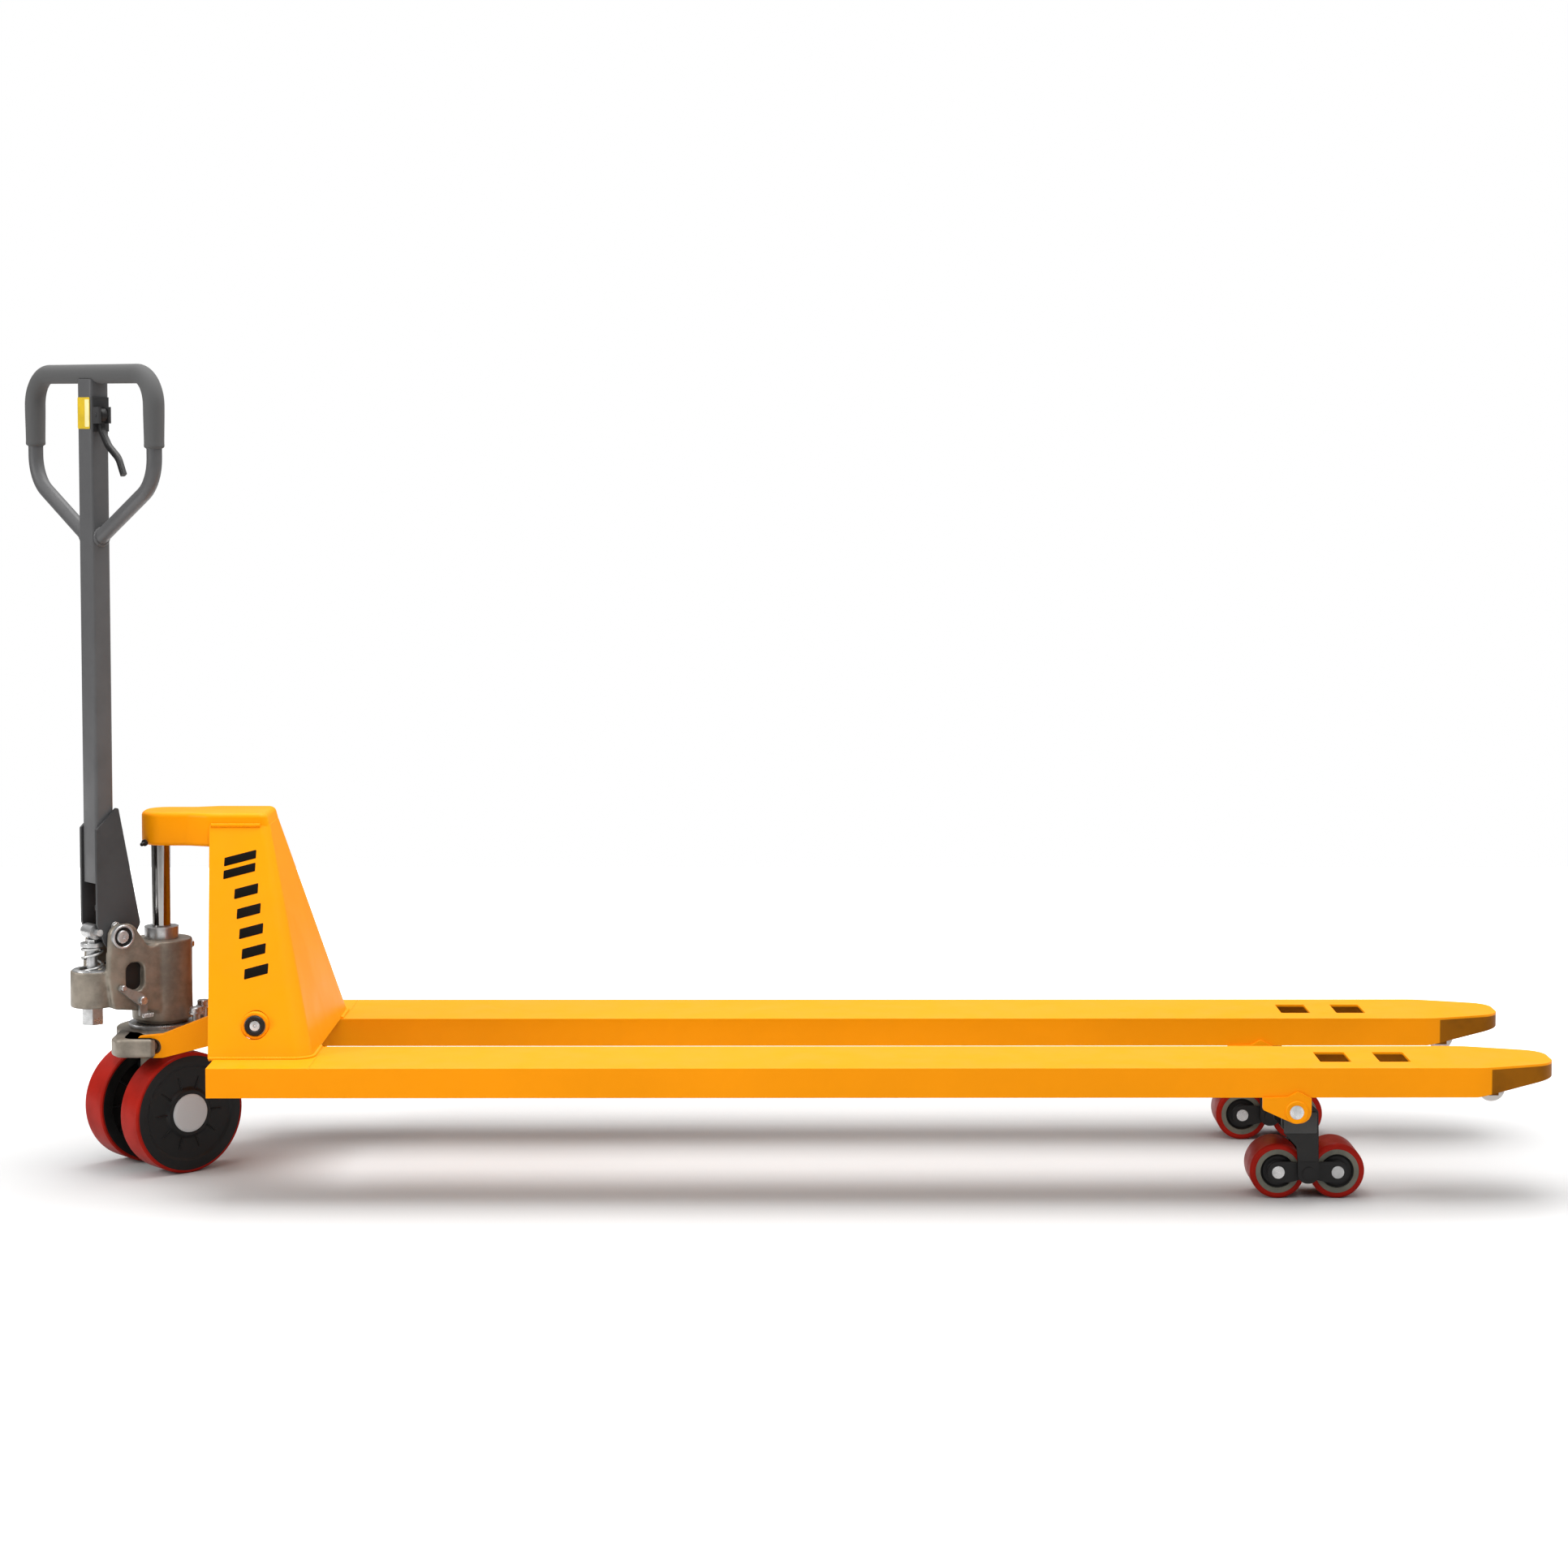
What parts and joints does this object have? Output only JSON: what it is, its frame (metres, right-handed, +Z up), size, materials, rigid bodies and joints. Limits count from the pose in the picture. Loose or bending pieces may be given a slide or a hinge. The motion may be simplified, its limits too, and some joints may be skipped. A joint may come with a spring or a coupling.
{
  "type": "pallet jack",
  "caption": "Hand pallet truck with long raised forks, tapered hood, chromed ram, turned twin steering wheels, loop handle and swinging tandem load rollers.",
  "frame": {"origin": "middle of the whole truck's footprint, on the floor", "axes": "+X along the forks towards their tips, +Y to the operator's left, +Z up"},
  "size_m": [2.2518, 0.561, 1.2005],
  "materials": {
    "paint_yellow": "golden yellow powder coat, satin gloss",
    "paint_dark": "dark grey powder coat, satin",
    "paint_black": "black coated steel",
    "cast_silver": "silver-painted casting, fine grain",
    "steel_plated": "zinc-plated machined steel",
    "chrome_ram": "hard-chromed ram",
    "wheel_red": "red cast polyurethane tread",
    "wheel_core": "black moulded core",
    "roller_core": "turned iron roller core",
    "cap_grey": "grey plastic hub cap",
    "grip_rubber": "dark moulded rubber",
    "roller_pale": "pale nylon entry roller",
    "spring_steel": "plated spring wire",
    "bronze_bush": "oiled bronze bush"
  },
  "bodies": {
    "thrust_base": {"thrust_plate": "cast_silver", "rocker_pins": "steel_plated", "thrust_bearing": "steel_plated"},
    "steering_unit": {"pump_body": "cast_silver", "gland_nut": "steel_plated", "pump_plugs": "steel_plated", "steer_axle": "steel_plated", "axle_clips": "spring_steel", "handle_pivot_pin": "steel_plated", "pump_spring": "spring_steel"},
    "handle": {"tiller_tube": "paint_dark", "handle_base": "paint_black", "press_roller": "steel_plated", "handle_loop": "paint_dark", "handle_grip": "grip_rubber", "lever_bracket": "steel_plated"},
    "control_lever": {"control_lever": "paint_black"},
    "control_rod": {"control_rod": "steel_plated"},
    "release_lever": {"release_lever": "cast_silver"},
    "plunger": {"plunger_rod": "steel_plated", "plunger_cap": "steel_plated"},
    "ram": {"ram_rod": "chrome_ram"},
    "chassis": {"fork_left": "paint_yellow", "fork_right": "paint_yellow", "bulkhead": "paint_yellow", "head": "paint_yellow", "pivot_ears": "paint_yellow", "load_pivot_pins": "steel_plated", "shaft_bushes": "bronze_bush", "entry_roller_pins": "steel_plated"},
    "rocker": {"rocker_arms": "paint_yellow", "rocker_shaft": "steel_plated", "lug_pins": "steel_plated"},
    "steer_wheel_left": {"steer_tread_left": "wheel_red", "steer_core_left": "wheel_core", "hub_cap_left": "cap_grey"},
    "steer_wheel_right": {"steer_tread_right": "wheel_red", "steer_core_right": "wheel_core", "hub_cap_right": "cap_grey"},
    "push_rod_left": {"push_rod_left": "paint_black"},
    "wheel_frame_left": {"wheel_frame_left": "paint_black", "frame_pins_left": "steel_plated"},
    "bogie_left": {"bogie_links_left": "paint_black", "roller_axles_left": "steel_plated"},
    "load_roller_left_rear": {"roller_tread_left_rear": "wheel_red", "roller_core_left_rear": "roller_core"},
    "load_roller_left_front": {"roller_tread_left_front": "wheel_red", "roller_core_left_front": "roller_core"},
    "entry_roller_left": {"entry_roller_left": "roller_pale"},
    "push_rod_right": {"push_rod_right": "paint_black"},
    "wheel_frame_right": {"wheel_frame_right": "paint_black", "frame_pins_right": "steel_plated"},
    "bogie_right": {"bogie_links_right": "paint_black", "roller_axles_right": "steel_plated"},
    "load_roller_right_rear": {"roller_tread_right_rear": "wheel_red", "roller_core_right_rear": "roller_core"},
    "load_roller_right_front": {"roller_tread_right_front": "wheel_red", "roller_core_right_front": "roller_core"},
    "entry_roller_right": {"entry_roller_right": "roller_pale"}
  },
  "joints": [
    {"name": "steer", "type": "hinge", "parent": "thrust_base", "child": "steering_unit", "pos_m": [-0.919, 0, 0.2], "axis": [0, 0, 1], "range_deg": [-131, 49]},
    {"name": "lift", "type": "slide", "parent": "thrust_base", "child": "chassis", "axis": [0, 0, 1], "range_m": [-0.115, 0]},
    {"name": "ram_slide", "type": "slide", "parent": "steering_unit", "child": "ram", "axis": [0, 0, 1], "range_m": [-0.115, 0]},
    {"name": "handle_tilt", "type": "hinge", "parent": "steering_unit", "child": "handle", "pos_m": [-0.98541, -0.05773, 0.359], "axis": [0.6561, -0.7547, 0], "range_deg": [0, 70]},
    {"name": "plunger_slide", "type": "slide", "parent": "steering_unit", "child": "plunger", "axis": [0, 0, -1], "range_m": [0, 0.0345], "deforming": ["pump_spring"]},
    {"name": "control_lever_pivot", "type": "hinge", "parent": "handle", "child": "control_lever", "pos_m": [-0.98083, -0.0935, 1.126], "axis": [-0.7547, -0.6561, 0], "range_deg": [-10, 22]},
    {"name": "control_rod_slide", "type": "slide", "parent": "handle", "child": "control_rod", "axis": [0, 0, 1], "range_m": [-0.006, 0.0125]},
    {"name": "release_pivot", "type": "hinge", "parent": "steering_unit", "child": "release_lever", "pos_m": [-0.9341, -0.07408, 0.262], "axis": [-0.6561, 0.7547, 0], "range_deg": [-8, 18]},
    {"name": "steer_wheel_left_spin", "type": "hinge", "parent": "steering_unit", "child": "steer_wheel_left", "pos_m": [-0.95344, 0.03962, 0.09], "axis": [-0.6561, 0.7547, 0], "continuous": true},
    {"name": "steer_wheel_right_spin", "type": "hinge", "parent": "steering_unit", "child": "steer_wheel_right", "pos_m": [-0.88456, -0.03962, 0.09], "axis": [-0.6561, 0.7547, 0], "continuous": true},
    {"name": "rocker_pivot", "type": "hinge", "parent": "chassis", "child": "rocker", "pos_m": [-0.7505, 0, 0.245], "axis": [0, 1, 0], "range_deg": [0, 38.78]},
    {"name": "push_rod_left_pivot", "type": "hinge", "parent": "rocker", "child": "push_rod_left", "pos_m": [-0.722, 0.156, 0.1613], "axis": [0, 1, 0], "range_deg": [-39.38, 0]},
    {"name": "wheel_frame_left_swing", "type": "hinge", "parent": "chassis", "child": "wheel_frame_left", "pos_m": [0.747, 0.1925, 0.137], "axis": [0, 1, 0], "range_deg": [-86.98, 0]},
    {"name": "bogie_left_level", "type": "hinge", "parent": "wheel_frame_left", "child": "bogie_left", "pos_m": [0.771, 0.1925, 0.04], "axis": [0, 1, 0], "range_deg": [0, 86.98]},
    {"name": "load_roller_left_rear_spin", "type": "hinge", "parent": "bogie_left", "child": "load_roller_left_rear", "pos_m": [0.728, 0.1925, 0.04], "axis": [0, 1, 0], "continuous": true},
    {"name": "load_roller_left_front_spin", "type": "hinge", "parent": "bogie_left", "child": "load_roller_left_front", "pos_m": [0.814, 0.1925, 0.04], "axis": [0, 1, 0], "continuous": true},
    {"name": "entry_roller_left_spin", "type": "hinge", "parent": "chassis", "child": "entry_roller_left", "pos_m": [1.041, 0.1925, 0.157], "axis": [0, 1, 0], "continuous": true},
    {"name": "push_rod_right_pivot", "type": "hinge", "parent": "rocker", "child": "push_rod_right", "pos_m": [-0.722, -0.156, 0.1613], "axis": [0, 1, 0], "range_deg": [-39.38, 0]},
    {"name": "wheel_frame_right_swing", "type": "hinge", "parent": "chassis", "child": "wheel_frame_right", "pos_m": [0.747, -0.1925, 0.137], "axis": [0, 1, 0], "range_deg": [-86.98, 0]},
    {"name": "bogie_right_level", "type": "hinge", "parent": "wheel_frame_right", "child": "bogie_right", "pos_m": [0.771, -0.1925, 0.04], "axis": [0, 1, 0], "range_deg": [0, 86.98]},
    {"name": "load_roller_right_rear_spin", "type": "hinge", "parent": "bogie_right", "child": "load_roller_right_rear", "pos_m": [0.728, -0.1925, 0.04], "axis": [0, 1, 0], "continuous": true},
    {"name": "load_roller_right_front_spin", "type": "hinge", "parent": "bogie_right", "child": "load_roller_right_front", "pos_m": [0.814, -0.1925, 0.04], "axis": [0, 1, 0], "continuous": true},
    {"name": "entry_roller_right_spin", "type": "hinge", "parent": "chassis", "child": "entry_roller_right", "pos_m": [1.041, -0.1925, 0.157], "axis": [0, 1, 0], "continuous": true}
  ],
  "couplings": [
    {"joint": "ram_slide", "follows": "lift", "ratio": 1},
    {"joint": "plunger_slide", "follows": "handle_tilt", "m_per_rad": 0.028},
    {"joint": "control_rod_slide", "follows": "control_lever_pivot", "m_per_rad": 0.03},
    {"joint": "release_pivot", "follows": "control_lever_pivot", "ratio": 0.6},
    {"joint": "rocker_pivot", "follows": "lift", "rad_per_m": -5.8254},
    {"joint": "push_rod_left_pivot", "follows": "lift", "rad_per_m": 5.8515},
    {"joint": "wheel_frame_left_swing", "follows": "lift", "rad_per_m": 13.125},
    {"joint": "bogie_left_level", "follows": "lift", "rad_per_m": -13.125},
    {"joint": "push_rod_right_pivot", "follows": "lift", "rad_per_m": 5.8515},
    {"joint": "wheel_frame_right_swing", "follows": "lift", "rad_per_m": 13.125},
    {"joint": "bogie_right_level", "follows": "lift", "rad_per_m": -13.125}
  ]
}
